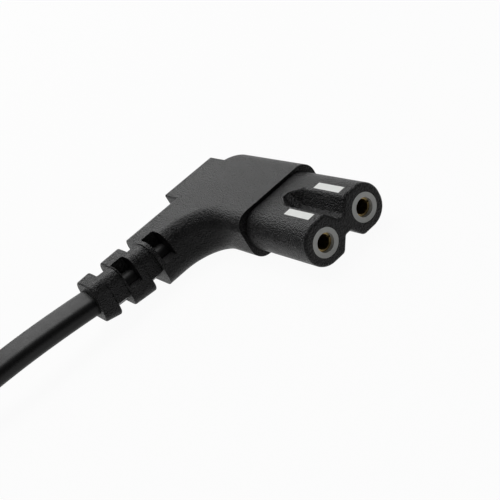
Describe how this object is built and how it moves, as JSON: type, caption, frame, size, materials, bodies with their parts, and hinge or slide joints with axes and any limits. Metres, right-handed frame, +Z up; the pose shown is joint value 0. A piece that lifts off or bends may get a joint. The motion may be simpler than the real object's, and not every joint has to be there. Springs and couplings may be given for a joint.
{
  "type": "mains power cord",
  "caption": "Black mains lead with a right-angled two-pin figure-of-eight appliance connector, slotted strain relief, flat flex in a tied hank and a flat two-pin plug.",
  "frame": {"origin": "centre of the underside of the appliance connector's box, without the flex and the plug", "axes": "+X out of the connector's mouth along its bores, -Y along the flex as it leaves the strain relief, +Z up"},
  "size_m": [0.0538, 0.1891, 0.0254],
  "materials": {
    "connector_black": "fine spark-eroded grain",
    "plug_black": "fine spark-eroded grain",
    "flex_black": "smooth satin",
    "sleeve_black": "smooth",
    "carrier_grey": "smooth moulded",
    "contact_brass": "satin",
    "pin_nickel": "satin",
    "copper": "bright",
    "core_brown": "smooth",
    "core_blue": "smooth",
    "tie_white": "smooth"
  },
  "bodies": {
    "root": {"connector_nose": "connector_black", "connector_body": "connector_black", "strain_relief": "connector_black", "contact_carrier": "carrier_grey", "contact_live": "contact_brass", "contact_neutral": "contact_brass", "live_core": "core_brown", "live_strands": "copper", "neutral_core": "core_blue", "neutral_strands": "copper", "sheath_end": "flex_black", "cord_lead": "flex_black", "cord_tail": "flex_black", "cord_hank": "flex_black", "hank_tie_near": "tie_white", "hank_tie_far": "tie_white", "plug_overmould": "plug_black", "plug_bridge": "carrier_grey", "plug_pin_live": "pin_nickel", "plug_pin_neutral": "pin_nickel", "pin_sleeve_live": "sleeve_black", "pin_sleeve_neutral": "sleeve_black", "plug_live_core": "core_brown", "plug_live_strands": "copper", "plug_neutral_core": "core_blue", "plug_neutral_strands": "copper", "plug_sheath_end": "flex_black"}
  },
  "joints": []
}
